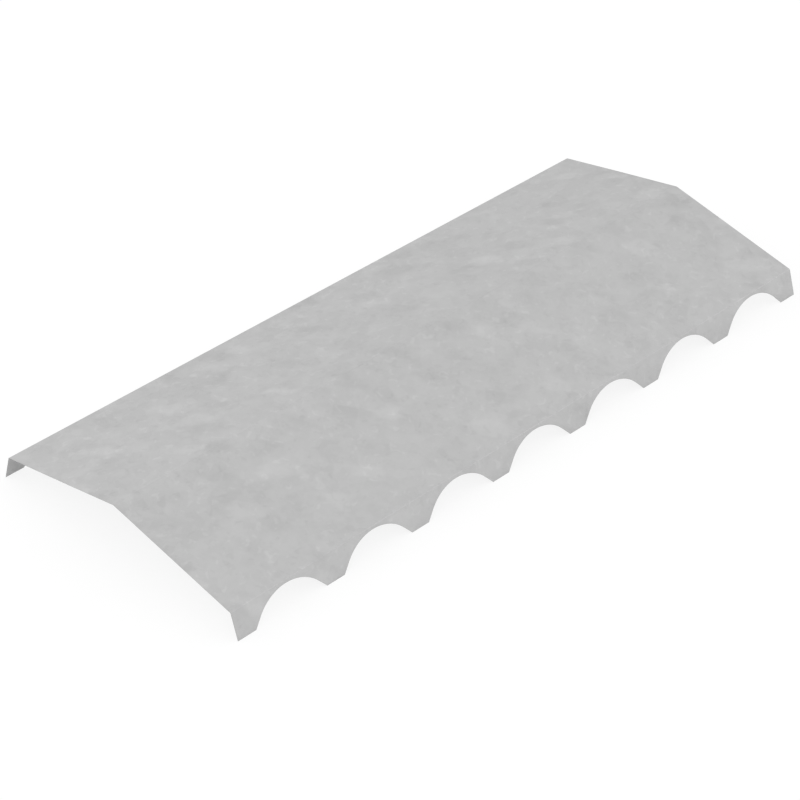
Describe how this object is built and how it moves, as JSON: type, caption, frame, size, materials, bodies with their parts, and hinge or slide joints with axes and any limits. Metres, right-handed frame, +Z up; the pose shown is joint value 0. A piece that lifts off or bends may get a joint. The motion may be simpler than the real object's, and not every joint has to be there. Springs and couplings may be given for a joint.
{
  "type": "roof ridge cap",
  "caption": "Folded galvanised sheet cap for a roof ridge: a low gable whose long sides turn down into scalloped flanges that straddle the waves of corrugated roof sheets.",
  "frame": {"origin": "under the ridge, half way along it, on the floor that the teeth stand on", "axes": "+X along the ridge, -Y to the front flange, +Z up"},
  "size_m": [1.051, 0.4472, 0.0806],
  "materials": {
    "galvanised_steel": "dull galvanised zinc with a faint, cloudy spangle"
  },
  "bodies": {
    "root": {"ridge_cap": "galvanised_steel"}
  },
  "joints": []
}
